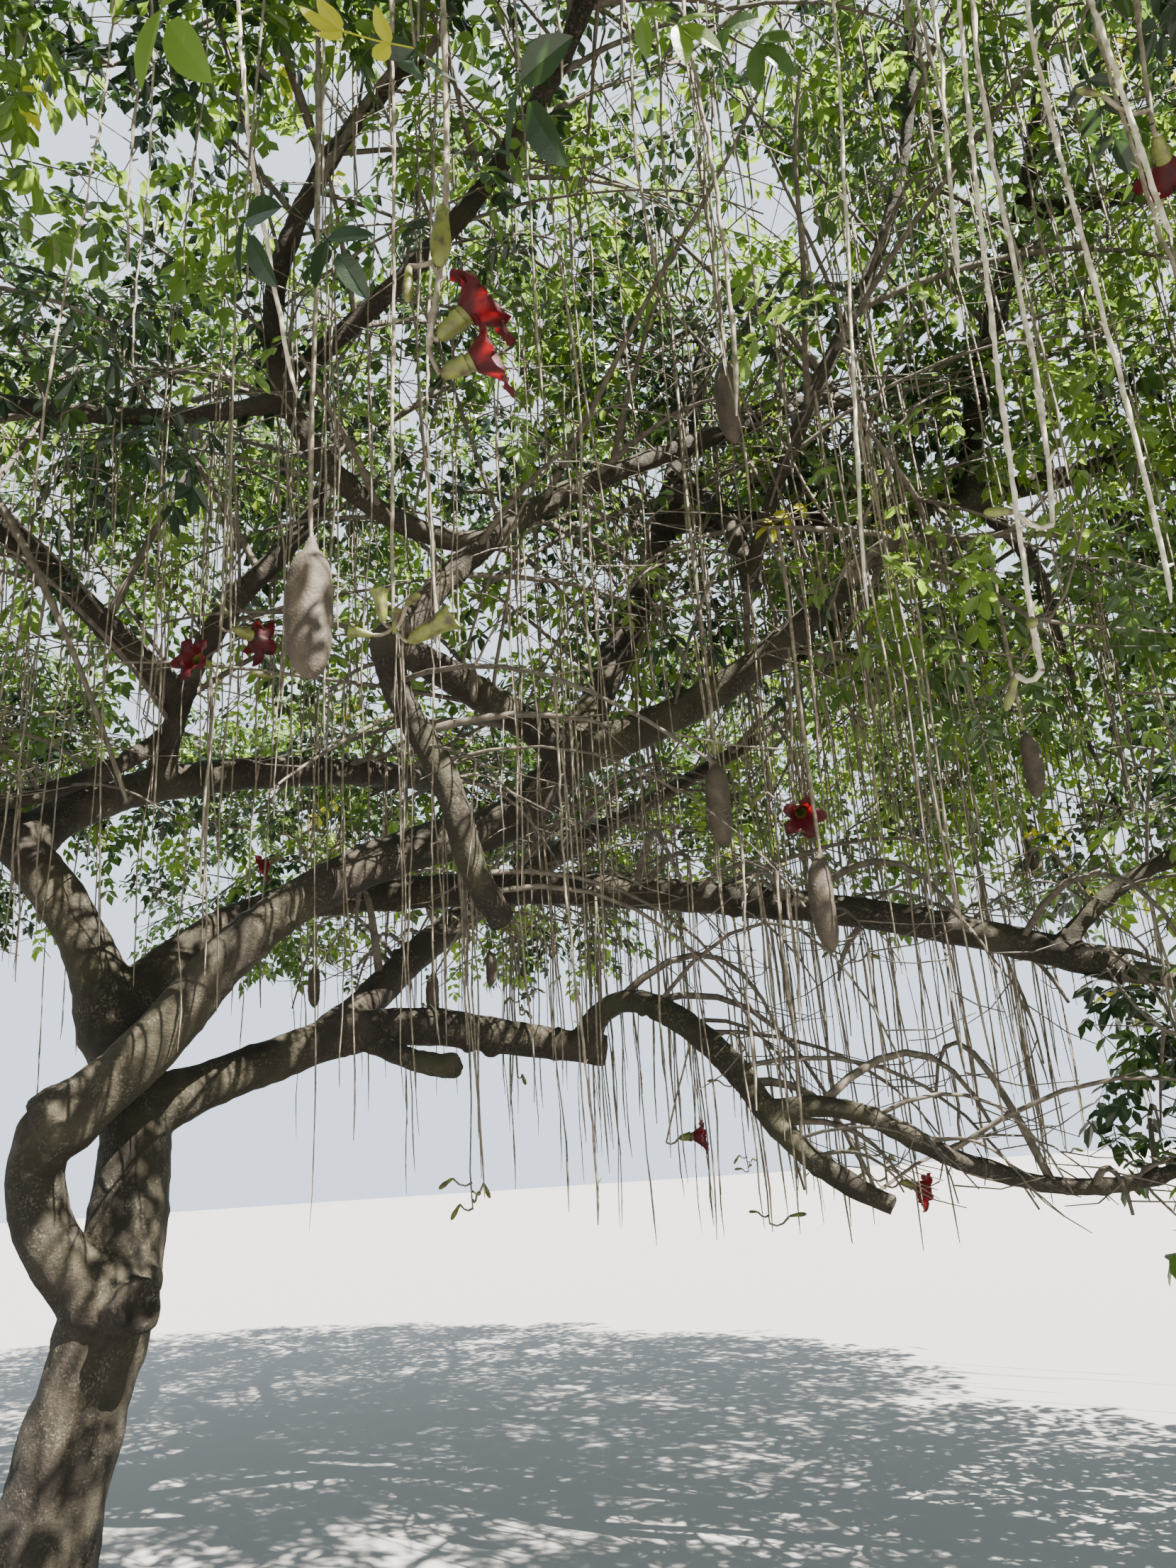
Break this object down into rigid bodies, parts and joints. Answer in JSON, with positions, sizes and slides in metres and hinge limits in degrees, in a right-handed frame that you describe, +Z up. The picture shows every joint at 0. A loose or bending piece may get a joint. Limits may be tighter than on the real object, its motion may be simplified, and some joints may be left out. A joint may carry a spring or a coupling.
{
  "type": "sausage tree",
  "caption": "Whole spreading tree with a leaning trunk, limbs that wind about each other, foliage at their ends and sausage fruits hanging on long stalks.",
  "frame": {"origin": "middle of the flat cut under the trunk, at ground level", "axes": "+Z is up. +X is to the right and +Y away as seen from the picture's side, where the limbs reach mostly to +X."},
  "size_m": [12.3604, 12.1121, 8.0469],
  "materials": {
    "bark": "matte grey-brown bark with pale flecks and shallow furrows",
    "foliage": "green leaves, some glossy and dark, some yellow, with twigs, fruits and stalks"
  },
  "bodies": {
    "root": {"trunk": "bark", "loop_limb": "bark", "main_bough": "bark", "right_riser": "bark", "centre_riser": "bark", "far_right_limb": "bark", "tall_right_limb": "bark", "knuckle_limb": "bark", "water_shoot": "bark", "left_riser": "bark", "pendant_limb": "bark", "cross_limb": "bark", "tall_left_limb": "bark", "tall_left_fork": "bark", "flat_left_limb": "bark", "middle_bough": "bark", "middle_fork": "bark", "lower_bough": "bark", "arching_limb": "bark", "arching_fork": "bark", "rear_bough": "bark", "pruned_stub": "bark", "left_bough": "bark", "left_cross_limb": "bark", "inner_riser": "bark", "upper_left_limb": "bark", "low_left_limb": "bark", "upper_right_limb": "bark", "back_left_limb": "bark", "back_right_limb": "bark", "right_back_limb": "bark", "front_right_limb": "bark", "front_left_limb": "bark", "top_foliage": "foliage", "inner_foliage": "foliage", "upper_left_foliage": "foliage", "tall_left_foliage": "foliage", "shoot_foliage": "foliage", "tall_right_foliage": "foliage", "far_right_foliage": "foliage", "right_back_foliage": "foliage", "rear_foliage": "foliage", "back_right_foliage": "foliage", "back_foliage": "foliage", "back_left_foliage": "foliage", "left_foliage": "foliage", "low_left_foliage": "foliage", "flat_left_foliage": "foliage", "front_left_foliage": "foliage", "front_foliage": "foliage", "front_right_foliage": "foliage", "upper_right_foliage": "foliage", "right_riser_foliage": "foliage", "cross_foliage": "foliage", "middle_foliage": "foliage", "middle_fork_foliage": "foliage", "arching_foliage": "foliage"}
  },
  "joints": []
}
